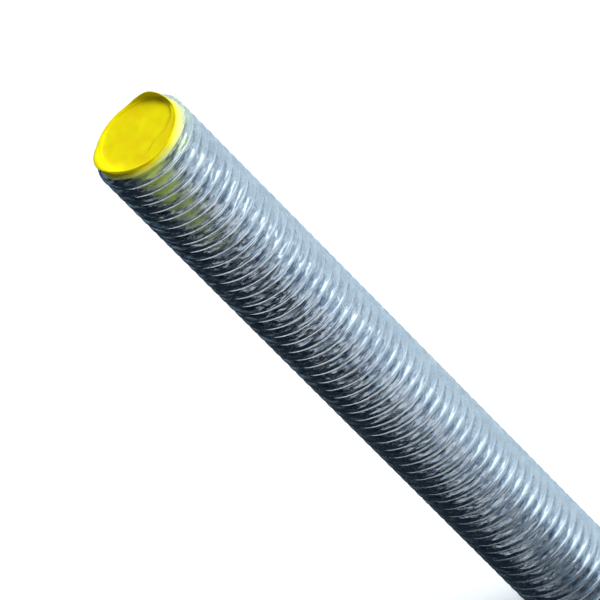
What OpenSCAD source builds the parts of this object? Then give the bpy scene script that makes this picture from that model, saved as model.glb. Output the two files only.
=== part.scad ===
// Cut length of fully threaded rod, standing on its plain end with the painted end up.
// The thread is one helix of the ISO 60 degree profile, from end to end, as shown a left-hand one.

/* [Thread] */
// Major diameter, across the crests
thread_d = 20; // [16:0.5:24]
// Rise of the thread in one turn
pitch = 2.5; // [2:0.25:3.5]
// Whether a nut goes on when it is turned anticlockwise
left_hand = true; // [true, false]

/* [Ends] */
// Length from the plain end to the painted face
rod_length = 150; // [80:5:200]
// How far below the thread's root the chamfer is cut on both ends
chamfer_below_root = 0.05; // [0.02:0.01:0.4]

/* [Sheared end] */
// Depth of the hollow that rolling leaves in the painted face
hollow_depth = 0.3; // [0.1:0.05:0.6]
// Mean width of the flat land between that hollow and the chamfer
land_w = 1.4; // [1.3:0.1:2]
// How far the hollow lies off the axis, towards +Y
hollow_shift = 0.9; // [0:0.1:1.1]
// Thickness of the lips that the shear leaves on the land, at the top
lip_w = 0.3; // [0.2:0.05:0.4]
// Their thickness at the foot
lip_foot_w = 0.6; // [0.5:0.05:0.8]
// Height of the main lip above the land
lip_h = 1.6; // [0.6:0.1:2.4]
// Direction in which the main lip is highest, from +X towards +Y
lip_dir = 30; // [0:5:50]
// Angle to each side of that direction at which the main lip runs out
lip_spread = 42; // [30:2:80]
// Height of the smaller lip across from it
small_lip_h = 1.1; // [0.4:0.1:1.6]
// Direction in which the smaller lip is highest
small_lip_dir = 200; // [170:2:230]
// Angle to each side of that direction at which the smaller lip runs out
small_lip_spread = 58; // [30:2:64]

/* [Hidden] */
rod_r = thread_d / 2;
thread_depth = 5 / 8 * sqrt(3) / 2 * pitch;
root_r = rod_r - thread_depth;
face_r = root_r - chamfer_below_root;
// The lip stands back from the chamfer by this much
lip_setback = 0.02;
lip_r = face_r - lip_setback;
// The blank runs past both end faces, and the end cuts trim it
past = 0.4;
blank_z0 = -past;
blank_z1 = rod_length + max(lip_h, small_lip_h) + past;
// Facets are shared out over the turns, four quarters alike
facet_budget = 10000;
turns = (blank_z1 - blank_z0) / pitch;
steps = 4 * floor(facet_budget / (8 * turns) / 4);

// One pitch of the profile, from the start of a crest: flat P/8, flank, flat P/4, flank
corners = [0, 1 / 8, 7 / 16, 11 / 16];
corner_r = [rod_r, rod_r, root_r, root_r];

// Radius of the profile at a given share of the pitch
function profile_r(share) =
    let (s = share - floor(share))
    s <= corners[1] ? rod_r :
    s <= corners[2] ? rod_r - thread_depth * (s - corners[1]) / (corners[2] - corners[1]) :
    s <= corners[3] ? root_r :
    root_r + thread_depth * (s - corners[3]) / (1 - corners[3]);

// Corner j of the profile on the line at step k, before the ends trim it
function corner_z(k, j) =
    blank_z0 + pitch * (floor(j / 4) - 1 + corners[j % 4] + k / steps);

// The right-hand blank: corner lines at every step of a turn, each one joined to the next
module thread_blank() {
    rows = 4 * (ceil(turns) + 2);
    // First and last corner of each line that the blank's ends leave standing
    low = [for (k = [0:steps]) max([for (j = [0:8]) corner_z(k, j) <= blank_z0 ? j : 0])];
    high = [for (k = [0:steps]) min([for (j = [rows - 20:rows]) corner_z(k, j) >= blank_z1 ? j : rows])];
    function line_r(k, j) =
        j <= low[k] ? profile_r((blank_z0 - corner_z(k, 0)) / pitch) :
        j >= high[k] ? profile_r((blank_z1 - corner_z(k, 0)) / pitch) :
        corner_r[j % 4];
    function line_z(k, j) = max(blank_z0, min(blank_z1, corner_z(k, j)));
    // The line at the last step is the first one again, one turn up
    function index(k, j) =
        k == steps ? index(0, j + 4) : k * (rows + 1) + max(low[k], min(high[k], j));
    points = [
        for (k = [0:steps - 1], j = [0:rows])
            [line_r(k, j) * cos(360 * k / steps), line_r(k, j) * sin(360 * k / steps), line_z(k, j)],
        [0, 0, blank_z0],
        [0, 0, blank_z1]
    ];
    foot = steps * (rows + 1);
    skin = [
        for (k = [0:steps - 1], j = [0:rows - 1])
            let (a = index(k, j), b = index(k + 1, j), c = index(k + 1, j + 1), d = index(k, j + 1))
            each [if (b != c) [a, c, b], if (a != d) [a, d, c]]
    ];
    caps = [
        for (k = [0:steps - 1])
            each [[foot, index(k, 0), index(k + 1, 0)], [foot + 1, index(k + 1, rows), index(k, rows)]]
    ];
    polyhedron(points = points, faces = concat(skin, caps));
}

// What the cut-off and the 45 degree chamfer take away at one end, seen as the upper end
module end_cut() {
    reach = rod_r + past;
    top = max(lip_h, small_lip_h) + 2 * past;
    rotate_extrude($fn = 64)
        polygon([[0, 0], [face_r, 0], [reach, face_r - reach], [reach, top], [0, top]]);
}

// A wall round the land, steep outside, cut off at a slant so that it rises on one side only
module lip(height, direction, spread) {
    slant = atan2(height, lip_r * (1 - cos(spread)));
    side = 4 * rod_r;
    rotate([0, 0, direction])
        difference() {
            rotate_extrude($fn = 64)
                polygon([
                    [lip_r - lip_foot_w, -past],
                    [lip_r, -past],
                    [lip_r, height + past],
                    [lip_r - lip_w, height + past],
                    [lip_r - lip_foot_w, 0]
                ]);
            translate([lip_r, 0, height])
                rotate([0, -slant, 0])
                    translate([-side, -side / 2, 0])
                        cube([2 * side, side, side]);
        }
}

// The shallow hollow in the painted face, with a sloping edge
module hollow() {
    hollow_r = face_r - land_w;
    floor_r = hollow_r - hollow_depth;
    translate([0, hollow_shift, 0])
        rotate_extrude($fn = 64)
            polygon([[0, -hollow_depth], [floor_r, -hollow_depth], [hollow_r, 0], [hollow_r, past], [0, past]]);
}

module rod() {
    color("lightsteelblue")
        difference() {
            mirror([0, left_hand ? 1 : 0, 0])
                thread_blank();
            mirror([0, 0, 1])
                end_cut();
            translate([0, 0, rod_length])
                difference() {
                    end_cut();
                    lip(lip_h, lip_dir, lip_spread);
                    lip(small_lip_h, small_lip_dir, small_lip_spread);
                }
            translate([0, 0, rod_length])
                hollow();
        }
}

rod();
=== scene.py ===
import math

import bmesh
import bpy
from mathutils import Matrix, Vector, noise


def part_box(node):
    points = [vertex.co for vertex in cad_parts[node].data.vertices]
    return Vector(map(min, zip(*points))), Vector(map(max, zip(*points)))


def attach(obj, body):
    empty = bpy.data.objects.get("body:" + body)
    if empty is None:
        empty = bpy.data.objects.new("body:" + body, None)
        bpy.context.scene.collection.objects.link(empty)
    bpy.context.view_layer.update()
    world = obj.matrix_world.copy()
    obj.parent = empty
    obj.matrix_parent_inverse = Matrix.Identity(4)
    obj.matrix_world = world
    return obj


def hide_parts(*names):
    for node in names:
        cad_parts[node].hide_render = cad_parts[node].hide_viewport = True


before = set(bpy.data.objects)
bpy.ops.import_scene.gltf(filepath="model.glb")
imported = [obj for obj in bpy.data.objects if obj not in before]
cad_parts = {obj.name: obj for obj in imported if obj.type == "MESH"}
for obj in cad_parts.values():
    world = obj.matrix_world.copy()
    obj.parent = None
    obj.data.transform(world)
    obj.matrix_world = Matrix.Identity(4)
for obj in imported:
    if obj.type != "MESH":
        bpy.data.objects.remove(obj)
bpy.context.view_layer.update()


# Rod
# One length of steel bar with a coarse left-hand thread rolled on it from end to end, chamfered,
# then zinc plated. The upper end was sheared, which left two lips on its rim, and painted yellow.

rod_low, rod_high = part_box("rod")
ROD_R = (rod_high.x - rod_low.x) / 2
PITCH = ROD_R / 4
THREAD_DEPTH = 5 / 8 * math.sqrt(3) / 2 * PITCH
CHAMFER_BELOW_ROOT = 0.00005
LIP_H = 0.0016
FACE_Z = rod_high.z - LIP_H
FACE_R = ROD_R - THREAD_DEPTH - CHAMFER_BELOW_ROOT
# Steps in one turn of the thread, turns made beyond each end, how near two points are to be welded, and
# how near to a level they are to count as lying on it.
STEPS = 72
SPARE_TURNS = 2
WELD = 2e-5
FLAT = 1e-6
ZINC_DULL = (0.58, 0.62, 0.67)
ZINC_BRIGHT = (0.75, 0.79, 0.83)
ZINC_ROOT_SHADE = (0.34, 0.37, 0.41)
ZINC_DARK_REFLECTION = (0.15, 0.2, 0.29)
YELLOW = (0.87, 0.74, 0.002)
YELLOW_WARM = (0.84, 0.63, 0.001)
YELLOW_THIN = (0.74, 0.76, 0.16)
YELLOW_MIST = (0.7, 0.8, 0.19)

# One pitch of the rolled profile, from root to root: share of the pitch, and share of the depth.
# The rolls leave a fine seam along the middle of each crest, between two rounded edges.
RISING = ((0.0, 1.0), (0.1, 0.99), (0.13, 0.96), (0.15, 0.914), (0.17, 0.856), (0.4, 0.12), (0.42, 0.056),
          (0.436, 0.015), (0.455, 0.0), (0.484, 0.0))
CREST_SEAM = (0.5, 0.01)
PROFILE = RISING + (CREST_SEAM,) + tuple((1 - share, depth) for share, depth in reversed(RISING))


def thread_skin(bm):
    """The helical skin: the profile of one pitch is turned once round the axis and drawn up as it turns,
    and that turn is repeated up the rod, past both ends."""
    start = -SPARE_TURNS * PITCH
    places = [(ROD_R - depth * THREAD_DEPTH, 0, start + share * PITCH) for share, depth in PROFILE]
    verts = [bm.verts.new(place) for place in places]
    edges = [bm.edges.new(pair) for pair in zip(verts, verts[1:])]
    bmesh.ops.spin(bm, geom=verts + edges, cent=(0, 0, 0), axis=(0, 0, 1), dvec=(0, 0, PITCH / STEPS),
                   angle=-math.tau, steps=STEPS)
    turn = bm.verts[:] + bm.edges[:] + bm.faces[:]
    for count in range(1, math.ceil(rod_high.z / PITCH) + SPARE_TURNS + 1):
        copied = bmesh.ops.duplicate(bm, geom=turn)["geom"]
        raised = [g for g in copied if isinstance(g, bmesh.types.BMVert)]
        bmesh.ops.translate(bm, verts=raised, vec=(0, 0, PITCH * count))
    bmesh.ops.remove_doubles(bm, verts=bm.verts, dist=WELD)


def cut_level(bm, z, side):
    """Cuts the skin at a level and drops what lies above it (side 1) or below it (side -1)."""
    bmesh.ops.bisect_plane(bm, geom=bm.verts[:] + bm.edges[:] + bm.faces[:], dist=FLAT, plane_co=(0, 0, z),
                           plane_no=(0, 0, side), clear_outer=True)


def chamfer_end(bm, z, side):
    """Turns an end down to a 45 degree cone. Rings of edges are cut first, which keep the cone true."""
    width = ROD_R - FACE_R
    for share in (0.25, 0.5, 0.75, 1.0):
        near = [v for v in bm.verts if (z - v.co.z) * side < width * 1.5]
        edges = {e for v in near for e in v.link_edges}
        faces = {f for v in near for f in v.link_faces}
        bmesh.ops.bisect_plane(bm, geom=near + list(edges) + list(faces), dist=FLAT,
                               plane_co=(0, 0, z - side * width * share), plane_no=(0, 0, side))
    for vert in bm.verts:
        limit = FACE_R + (z - vert.co.z) * side
        radius = math.hypot(vert.co.x, vert.co.y)
        if radius > limit:
            vert.co.x *= limit / radius
            vert.co.y *= limit / radius


def end_rings(bm, z, rings):
    """Carries an end's rim inwards over rings, each with a radius and a height for every direction, and
    closes it in the middle."""
    rim = [e for e in bm.edges if e.is_boundary and abs(e.verts[0].co.z - z) < FLAT * 5]
    for reach, height in rings:
        made = bmesh.ops.extrude_edge_only(bm, edges=rim)["geom"]
        for vert in (g for g in made if isinstance(g, bmesh.types.BMVert)):
            angle = math.atan2(vert.co.y, vert.co.x)
            radius = reach(angle)
            vert.co = (radius * math.cos(angle), radius * math.sin(angle), z + height(angle, radius))
        rim = [g for g in made if isinstance(g, bmesh.types.BMEdge)]
    verts = {v for e in rim for v in e.verts}
    centre = sum((v.co for v in verts), Vector()) / len(verts)
    bmesh.ops.pointmerge(bm, verts=list(verts), merge_co=centre)


# Each lip: where it is highest, how far it reaches to either side of that, its height, and how round it is.
# Between them the rim still stands a hair above the land.
MAIN_LIP = (math.radians(33), math.radians(46), math.radians(42), LIP_H, 0.9)
SMALL_LIP = (math.radians(198), math.radians(60), math.radians(64), 0.0011, 0.6)
RIM_H = 0.00006
# Thickness of the rim at its top, how far its foot reaches in all round, and how much further at the
# smaller lip and at the far side of the main one.
RIM_W = 0.0001
FOOT_W = 0.0002
SMALL_LIP_FOOT_W = 0.0009
MAIN_LIP_FOOT_W = 0.0002
# How far the wall leans out all round, and how much further at the smaller lip.
LEAN = 0.00008
SMALL_LIP_LEAN = 0.0005
# Depth and radius of the hollow, how far it lies off the axis, how near it comes to the rim's foot, and how
# much broader the land round it is at the front right.
HOLLOW = 0.0003
HOLLOW_R = FACE_R - 0.0008
HOLLOW_SHIFT = 0.0007
HOLLOW_GAP = 0.0001
LAND_EXTRA = 0.0021
# Waves of the uneven face in a metre.
FACE_WAVES = 450


def lip_height(angle):
    """Height of the sheared lips in a direction: each one rises and runs out, and its edge is uneven."""
    height = RIM_H
    for middle, before, after, top, roundness in (MAIN_LIP, SMALL_LIP):
        away = (angle - middle + math.pi) % math.tau - math.pi
        share = away / after if away > 0 else -away / before
        if share < 1:
            swell = math.cos(share * math.pi / 2) ** roundness * (1 - share) ** (roundness / 2)
            wobble = noise.noise(Vector((angle * 6, top * 1000, 0)))
            height += (top - height) * swell * (0.95 + 0.05 * wobble)
    return height


def uneven(angle, radius, size):
    """Slight unevenness of the sheared face."""
    place = Vector((math.cos(angle), math.sin(angle), 0)) * radius * FACE_WAVES
    return size * noise.noise(place)


def bump_at(angle, middle, width):
    """1 in one direction, falling off to either side of it."""
    away = (angle - middle + math.pi) % math.tau - math.pi
    return math.exp(-(away / width) ** 2)


def painted_end():
    """Rings from the chamfer over the lips and the land and down into the hollow, which lies off the axis."""
    def wall(share):
        """Outside, from the foot at 0 to the top at 1. The lips stand steep, and the smaller one leans
        out as it rises."""
        return lambda a: FACE_R + share * (LEAN + SMALL_LIP_LEAN * bump_at(a, math.radians(172), 0.6))

    def slope(share):
        """Inside, from the top at 0 to the foot at 1. The main lip drops straight but for its far side,
        and the smaller one slopes down."""
        return lambda a: FACE_R - RIM_W - share * (
            FOOT_W + SMALL_LIP_FOOT_W * bump_at(a, math.radians(190), 0.8)
            + MAIN_LIP_FOOT_W * bump_at(a, math.radians(66), 0.22))

    def hollow(share):
        """From the middle at 0 to the land's inner edge at 1. The land is broad at the front right, and
        behind the hollow reaches to the foot of the main lip."""
        def reach(a):
            shifted = HOLLOW_R + HOLLOW_SHIFT * math.cos(a - math.radians(60))
            edge = shifted - LAND_EXTRA * bump_at(a, math.radians(-72), 0.62)
            return share * min(slope(1)(a) - HOLLOW_GAP, edge)
        return reach

    def land(share):
        """From the hollow's edge at 0 to the rim's foot at 1."""
        return lambda a: hollow(1)(a) + share * (slope(1)(a) - hollow(1)(a))

    rings = [
        (wall(0.6), lambda a, r: lip_height(a) * 0.5),
        (wall(1.0), lambda a, r: lip_height(a) * 0.92),
        (wall(0.7), lambda a, r: lip_height(a)),
        (slope(0.0), lambda a, r: lip_height(a) * 0.97),
        (slope(0.3), lambda a, r: lip_height(a) * 0.8),
        (slope(0.7), lambda a, r: lip_height(a) * 0.3),
        (slope(1.0), lambda a, r: uneven(a, r, 0.00003)),
        (land(0.6), lambda a, r: uneven(a, r, 0.00004)),
        (land(0.1), lambda a, r: uneven(a, r, 0.00004)),
        (hollow(0.992), lambda a, r: -HOLLOW * 0.25 + uneven(a, r, 0.00004)),
        (hollow(0.978), lambda a, r: -HOLLOW * 0.85 + uneven(a, r, 0.00005)),
        (hollow(0.96), lambda a, r: -HOLLOW + uneven(a, r, 0.00006)),
    ]
    for share in (0.84, 0.74, 0.64, 0.54, 0.44, 0.34, 0.24, 0.14):
        rings.append((hollow(share), lambda a, r: -HOLLOW + uneven(a, r, 0.00007)))
    return rings


def sawn_end():
    """Rings across the plain end, which is flat: one close to its edge and one half way in."""
    return [(lambda a: FACE_R - 0.0001, lambda a, r: 0.0), (lambda a: FACE_R / 2, lambda a, r: 0.0)]


bm = bmesh.new()
thread_skin(bm)
cut_level(bm, FACE_Z, 1)
cut_level(bm, rod_low.z, -1)
chamfer_end(bm, FACE_Z, 1)
chamfer_end(bm, rod_low.z, -1)
end_rings(bm, FACE_Z, painted_end())
end_rings(bm, rod_low.z, sawn_end())
bmesh.ops.recalc_face_normals(bm, faces=bm.faces)


# How far the coat has run down the chamfer all round, how much further at the front, and how solid it still
# is at the top of the chamfer.
COAT_RUN = 0.0007
FRONT_RUN = 0.0008
COAT_AT_RIM = 0.86
# How many turns down the overspray reaches, in the grooves and as the thin mist below the face.
GROOVE_TURNS = 11
MIST_TURNS = 1.2


def coat_amount(angle, radius, below):
    """The coat: solid all over the lips and the face, and thinning out down the chamfer."""
    if below < 0 or (radius < FACE_R and below < 3 * HOLLOW):
        return 1.0
    run = COAT_RUN + FRONT_RUN * bump_at(angle, math.radians(-90), 0.75)
    return max(0.0, COAT_AT_RIM - below / (2 * run))


def mist_amount(angle, radius, below):
    """The overspray: most in the grooves at the front left, and thin over the first turns at the right."""
    groove = min(1.0, 1.4 * (ROD_R - radius) / THREAD_DEPTH)
    down_the_side = bump_at(angle, math.radians(-110), 0.3) * max(0.0, 1 - below / (GROOVE_TURNS * PITCH))
    near_the_end = bump_at(angle, math.radians(-25), 1.0) * math.exp(-(below / (MIST_TURNS * PITCH)) ** 2)
    return 1.8 * down_the_side * (0.05 + 0.95 * groove) + 0.8 * near_the_end


paint = bm.verts.layers.float.new("paint")
mist = bm.verts.layers.float.new("mist")
groove = bm.verts.layers.float.new("groove")
for vert in bm.verts:
    angle = math.atan2(vert.co.y, vert.co.x)
    radius = math.hypot(vert.co.x, vert.co.y)
    below = FACE_Z - vert.co.z
    vert[paint] = coat_amount(angle, radius, below)
    vert[mist] = mist_amount(angle, radius, below)
    vert[groove] = min(1.0, max(0.0, (ROD_R - radius) / THREAD_DEPTH))
for face in bm.faces:
    face.smooth = True
mesh = bpy.data.meshes.new("threaded_rod")
bm.to_mesh(mesh)
bm.free()
print("rod:", len(mesh.polygons), "faces")
rod = bpy.data.objects.new("threaded_rod", mesh)
bpy.context.scene.collection.objects.link(rod)

# Zinc over rolled steel: faint lines that run round with the thread, and small bright and dull flecks. The
# root is darkened as painted shade, and the grooves on the left as a painted dark reflection in streaks.
# Yellow paint lies over the end, thins out to a pale film over the chamfer, and has drifted as a mist into
# the grooves.
FLECK_STRETCH = 5
steel = bpy.data.materials.new("zinc_steel")
steel.use_nodes = True
nodes, links = steel.node_tree.nodes, steel.node_tree.links
shader = nodes["Principled BSDF"]
shader.inputs["Specular IOR Level"].default_value = 0.05
on_the_rod = nodes.new("ShaderNodeTexCoord").outputs["Object"]
stretch = nodes.new("ShaderNodeMapping")
stretch.inputs["Scale"].default_value = (1, 1, FLECK_STRETCH)
links.new(on_the_rod, stretch.inputs["Vector"])
round_the_rod = stretch.outputs["Vector"]


# The next five each lay one node in the material at hand, and give what comes out of it.
def grain(source, scale, detail, roughness=0.5):
    """A noise pattern over the rod, scale in features a metre."""
    texture = nodes.new("ShaderNodeTexNoise")
    texture.inputs["Scale"].default_value = scale
    texture.inputs["Detail"].default_value = detail
    texture.inputs["Roughness"].default_value = roughness
    links.new(source, texture.inputs["Vector"])
    return texture.outputs["Fac"]


def reading(name):
    """A value kept on the mesh."""
    layer = nodes.new("ShaderNodeAttribute")
    layer.attribute_name = name
    return layer.outputs["Fac"]


def sums(operation, first, second, clamp=False):
    """One step of arithmetic between two values, either of which may be a plain number."""
    step = nodes.new("ShaderNodeMath")
    step.operation = operation
    step.use_clamp = clamp
    for socket, value in zip(step.inputs, (first, second)):
        if isinstance(value, (int, float)):
            socket.default_value = value
        else:
            links.new(value, socket)
    return step.outputs[0]


def spread(value, low, high, to_low, to_high):
    """Stretches a part of a value's range over another range."""
    step = nodes.new("ShaderNodeMapRange")
    for name, number in (("From Min", low), ("From Max", high), ("To Min", to_low), ("To Max", to_high)):
        step.inputs[name].default_value = number
    links.new(value, step.inputs["Value"])
    return step.outputs["Result"]


def blend(share, first, second):
    """Mixes two colours, each of them written or from a node."""
    step = nodes.new("ShaderNodeMix")
    step.data_type = "RGBA"
    links.new(share, step.inputs["Factor"])
    for socket, colour in ((step.inputs[6], first), (step.inputs[7], second)):
        if isinstance(colour, tuple):
            socket.default_value = (*colour, 1)
        else:
            links.new(colour, socket)
    return step.outputs[2]


flecks = grain(round_the_rod, 320, 1)
rolled_lines = grain(round_the_rod, 2200, 3, 0.6)
patches = grain(on_the_rod, 260, 2)
in_groove = reading("groove")
spot = nodes.new("ShaderNodeSeparateXYZ")
links.new(on_the_rod, spot.inputs[0])

# The zinc: flecked all over, with painted shade darkening the root, and a painted dark reflection in streaks
# in the grooves of the left side
bright = spread(sums("ADD", flecks, rolled_lines), 0.75, 1.25, 0.0, 1.0)
zinc = blend(bright, ZINC_DULL, ZINC_BRIGHT)
# Painted shade: the colour darkens towards the root of each groove
zinc = blend(spread(in_groove, 0.55, 1.0, 0.0, 0.55), zinc, ZINC_ROOT_SHADE)
# Painted dark reflection: random streaks darken the grooves towards the -X side, where the metal mirrors the
# dark room
left_dark_reflection = spread(grain(round_the_rod, 420, 2, 0.6), 0.52, 0.6, 0.0, 0.85)
left_dark_reflection = sums("MULTIPLY", left_dark_reflection, spread(in_groove, 0.25, 0.6, 0.0, 1.0))
left_dark_reflection = sums("MULTIPLY", left_dark_reflection, spread(spot.outputs["X"], 0.0025, 0.006, 1.0, 0.1))
zinc = blend(left_dark_reflection, zinc, ZINC_DARK_REFLECTION)

# The paint: a solid coat with a ragged edge, a thin film round that edge, and speckled overspray
ragged = sums("ADD", reading("paint"), sums("MULTIPLY", sums("SUBTRACT", flecks, 0.5), 0.5))
coat = spread(ragged, 0.5, 0.9, 0.0, 1.0)
film = spread(ragged, 0.14, 0.5, 0.0, 0.8)
speckle = spread(grain(round_the_rod, 260, 3, 0.6), 0.38, 0.62, 0.1, 1.0)
drift = sums("MULTIPLY", sums("MULTIPLY", reading("mist"), speckle), 1.1)
painted = sums("MAXIMUM", sums("MAXIMUM", coat, film), drift, clamp=True)

yellow = blend(spread(patches, 0.35, 0.65, 0.0, 1.0), YELLOW, YELLOW_WARM)
misted = blend(film, blend(drift, zinc, YELLOW_MIST), YELLOW_THIN)
links.new(blend(coat, misted, yellow), shader.inputs["Base Color"])
links.new(sums("SUBTRACT", 1.0, painted, clamp=True), shader.inputs["Metallic"])

# The plating is glossy with duller flecks, and the paint is matt
plating = spread(grain(round_the_rod, 620, 3, 0.6), 0.4, 0.64, 0.08, 0.28)
gloss = nodes.new("ShaderNodeMix")
links.new(painted, gloss.inputs["Factor"])
links.new(plating, gloss.inputs["A"])
gloss.inputs["B"].default_value = 0.6
links.new(gloss.outputs["Result"], shader.inputs["Roughness"])

# The flecks stand up a little, most in the bare grooves near the upper end, and hardly on the crests
relief = nodes.new("ShaderNodeBump")
relief.inputs["Strength"].default_value = 1.0
relief.inputs["Distance"].default_value = 0.00045
bare = sums("SUBTRACT", 1.0, sums("MULTIPLY", painted, 0.75), clamp=True)
bare = sums("MULTIPLY", bare, spread(spot.outputs["Z"], 0.06, 0.135, 0.25, 1.0))
bare = sums("MULTIPLY", bare, spread(in_groove, 0.1, 0.4, 0.05, 1.0))
rough_skin = sums("SUBTRACT", sums("ADD", sums("MULTIPLY", rolled_lines, 0.03), flecks), 0.515)
links.new(sums("MULTIPLY", rough_skin, bare), relief.inputs["Height"])
links.new(relief.outputs["Normal"], shader.inputs["Normal"])
mesh.materials.append(steel)

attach(rod, "root")
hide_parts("rod")


# Floor
# A broad studio table of board painted matt white, which the rod stands on. It runs out of view on every
# side and keeps the rod's soft shadow.

FLOOR_R = 6.0
FLOOR_GLOW = 0.3
bm = bmesh.new()
bmesh.ops.create_circle(bm, cap_ends=True, segments=96, radius=FLOOR_R)
floor_mesh = bpy.data.meshes.new("floor")
bm.to_mesh(floor_mesh)
bm.free()
floor = bpy.data.objects.new("floor", floor_mesh)
bpy.context.scene.collection.objects.link(floor)

white = bpy.data.materials.new("white_table")
white.use_nodes = True
nodes, links = white.node_tree.nodes, white.node_tree.links
table = nodes["Principled BSDF"]
table.inputs["Base Color"].default_value = (0.9, 0.9, 0.9, 1)
table.inputs["Roughness"].default_value = 0.9
table.inputs["Emission Color"].default_value = (1, 1, 1, 1)
# The glow shows in the picture and in what mirrors the table, and lights nothing else
ray = nodes.new("ShaderNodeLightPath").outputs
seen = sums("MAXIMUM", ray["Is Camera Ray"], ray["Is Glossy Ray"])
seen = sums("MAXIMUM", seen, ray["Is Transmission Ray"])
links.new(sums("MULTIPLY", seen, FLOOR_GLOW), table.inputs["Emission Strength"])
floor_mesh.materials.append(white)


# Cloths
# Cloths laid out on the table round the rod: black ones to the left, drawn up at their far edge, a grey one
# close to the rod and a pale one to the right. Only the metal sees them, and mirrors them, as in a studio.

CLOTH_Z = 0.0006
CLOTH_EDGE = 0.6
CLOTH_RISE = 0.2
GREY_EDGE = 0.14
FADE_FROM = 0.075
FADE_TO = 0.135
DYES = (
    ("black_cloth", (0.01, 0.012, 0.016)),
    ("grey_cloth", (0.17, 0.19, 0.21)),
    ("pale_cloth", (0.6, 0.72, 0.8)),
)
BLACK, GREY, PALE = range(len(DYES))


def lying(inner, outer):
    """The section of a cloth that lies on the table, between two distances from the rod's axis."""
    return [(inner, CLOTH_Z), (outer, CLOTH_Z)]


def drawn_up(inner):
    """The section of a cloth that lies on the table and is drawn up at its far edge."""
    return lying(inner, CLOTH_EDGE) + [(CLOTH_EDGE, CLOTH_RISE)]


def cloth_part(bm, start, end, section, dye):
    """A sector of a cloth between two directions in degrees, with its section from the inside out."""
    across = Vector((math.cos(math.radians(start)), math.sin(math.radians(start)), 0))
    verts = [bm.verts.new(across * reach + Vector((0, 0, height))) for reach, height in section]
    edges = [bm.edges.new(pair) for pair in zip(verts, verts[1:])]
    old = set(bm.faces)
    bmesh.ops.spin(bm, geom=verts + edges, cent=(0, 0, 0), axis=(0, 0, 1),
                   angle=math.radians(end - start), steps=24)
    for face in set(bm.faces) - old:
        face.material_index = dye


bm = bmesh.new()
cloth_part(bm, 85, 170, drawn_up(0.02), BLACK)
cloth_part(bm, 170, 262, drawn_up(0.25), BLACK)
cloth_part(bm, 170, 300, lying(0.015, GREY_EDGE), GREY)
cloth_part(bm, 300, 445, lying(0.015, CLOTH_EDGE), PALE)
cloth_mesh = bpy.data.meshes.new("cloths")
bm.to_mesh(cloth_mesh)
bm.free()
cloths = bpy.data.objects.new("cloths", cloth_mesh)
bpy.context.scene.collection.objects.link(cloths)
cloths.visible_camera = False
cloths.visible_shadow = False
cloths.visible_diffuse = False

for name, colour in DYES:
    dyed = bpy.data.materials.new(name)
    dyed.use_nodes = True
    weave = dyed.node_tree.nodes["Principled BSDF"]
    weave.inputs["Base Color"].default_value = (*colour, 1)
    weave.inputs["Roughness"].default_value = 0.9
    cloth_mesh.materials.append(dyed)

# The grey one fades out towards its edge
grey = cloth_mesh.materials[GREY]
nodes, links = grey.node_tree.nodes, grey.node_tree.links
away = nodes.new("ShaderNodeVectorMath")
away.operation = "LENGTH"
links.new(nodes.new("ShaderNodeTexCoord").outputs["Object"], away.inputs[0])
fade = spread(away.outputs["Value"], FADE_FROM, FADE_TO, 1.0, 0.0)
links.new(fade, nodes["Principled BSDF"].inputs["Alpha"])


# Light
# Soft boxes nearly overhead, low on the left and to the right, in a room that is pale on the right and at
# the back and dark on the left. A polarising filter keeps the main one's mirror image off the metal.

# The room's tones from the dark left to the pale right: how far across each one lies, and its colour.
ACROSS_THE_ROOM = (0.9, 0.45, 0)
ROOM_TONES = (
    (0.31, (0.012, 0.02, 0.032)),
    (0.37, (0.055, 0.075, 0.08)),
    (0.47, (0.17, 0.26, 0.35)),
    (0.58, (0.19, 0.28, 0.38)),
    (0.64, (0.36, 0.47, 0.57)),
    (0.72, (0.65, 0.8, 0.9)),
)


def soft_box(name, place, size, power, colour):
    """An area lamp that faces the rod's middle."""
    lamp = bpy.data.lights.new(name, "AREA")
    lamp.shape = "RECTANGLE"
    lamp.size, lamp.size_y = size
    lamp.energy = power
    lamp.color = colour
    holder = bpy.data.objects.new(name, lamp)
    holder.location = place
    middle = Vector((0, 0, FACE_Z / 2))
    holder.rotation_euler = (middle - holder.location).to_track_quat("-Z", "Y").to_euler()
    holder.visible_camera = False
    bpy.context.scene.collection.objects.link(holder)
    return holder


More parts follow.
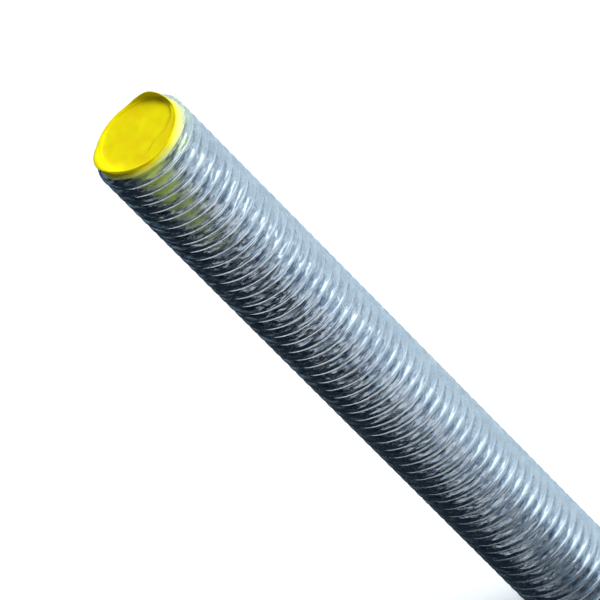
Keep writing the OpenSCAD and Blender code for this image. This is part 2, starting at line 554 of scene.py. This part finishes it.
soft_box("soft_box_overhead", place=(0.53, -0.08, 1.37), size=(0.42, 1.15), power=1.35,
         colour=(0.93, 0.98, 1.0))
low_box = soft_box("soft_box_low_left", place=(-0.75, -0.75, 0.4), size=(1.1, 0.2), power=1.2,
                   colour=(0.95, 0.98, 1.0))
low_box.visible_diffuse = False
soft_box("soft_box_small_right", place=(1.12, -0.2, 0.9), size=(0.5, 0.6), power=0.8,
         colour=(1.0, 1.0, 0.98))
main_box = soft_box("soft_box_right", place=(1.15, -0.4, 1.05), size=(1.2, 1.2), power=28,
                    colour=(1.0, 0.99, 0.97))
main_box.visible_glossy = False

world = bpy.data.worlds.new("room")
bpy.context.scene.world = world
world.use_nodes = True
nodes, links = world.node_tree.nodes, world.node_tree.links
across = nodes.new("ShaderNodeVectorMath")
across.operation = "DOT_PRODUCT"
across.inputs[1].default_value = ACROSS_THE_ROOM
links.new(nodes.new("ShaderNodeTexCoord").outputs["Generated"], across.inputs[0])
walls = nodes.new("ShaderNodeValToRGB")
tones = walls.color_ramp.elements
for tone, (share, colour) in zip(tones, (ROOM_TONES[0], ROOM_TONES[-1])):
    tone.position = share
    tone.color = (*colour, 1)
for share, colour in ROOM_TONES[1:-1]:
    tones.new(share).color = (*colour, 1)
links.new(spread(across.outputs["Value"], -1.0, 1.0, 0.0, 1.0), walls.inputs["Fac"])
links.new(walls.outputs["Color"], nodes["Background"].inputs["Color"])


# Camera
# The photograph looks down on the rod's painted end from 37.8 degrees above the horizon, through a
# long lens, with the picture rolled so that the rod runs from the upper left to the lower right.

VIEW_UP = math.radians(37.83)
VIEW_ROLL = math.radians(44.86)
VIEW_DISTANCE = 1.65
AIM_BELOW_FACE = 0.0528
PIXELS = 600
PIXELS_PER_METRE = 5465
back = Vector((0, -math.cos(VIEW_UP), math.sin(VIEW_UP)))
side = Vector((1, 0, 0))
rise = back.cross(side)
right = side * math.cos(VIEW_ROLL) - rise * math.sin(VIEW_ROLL)
up = side * math.sin(VIEW_ROLL) + rise * math.cos(VIEW_ROLL)
lens = bpy.data.cameras.new("camera")
lens.sensor_width = 36
lens.lens = lens.sensor_width * PIXELS_PER_METRE * VIEW_DISTANCE / PIXELS
camera = bpy.data.objects.new("camera", lens)
aim = Vector((0, 0, FACE_Z - AIM_BELOW_FACE))
turned = Matrix((right, up, back)).transposed().to_4x4()
camera.matrix_world = Matrix.Translation(aim + back * VIEW_DISTANCE) @ turned
bpy.context.scene.collection.objects.link(camera)
bpy.context.scene.camera = camera
bpy.context.scene.view_settings.view_transform = "Standard"
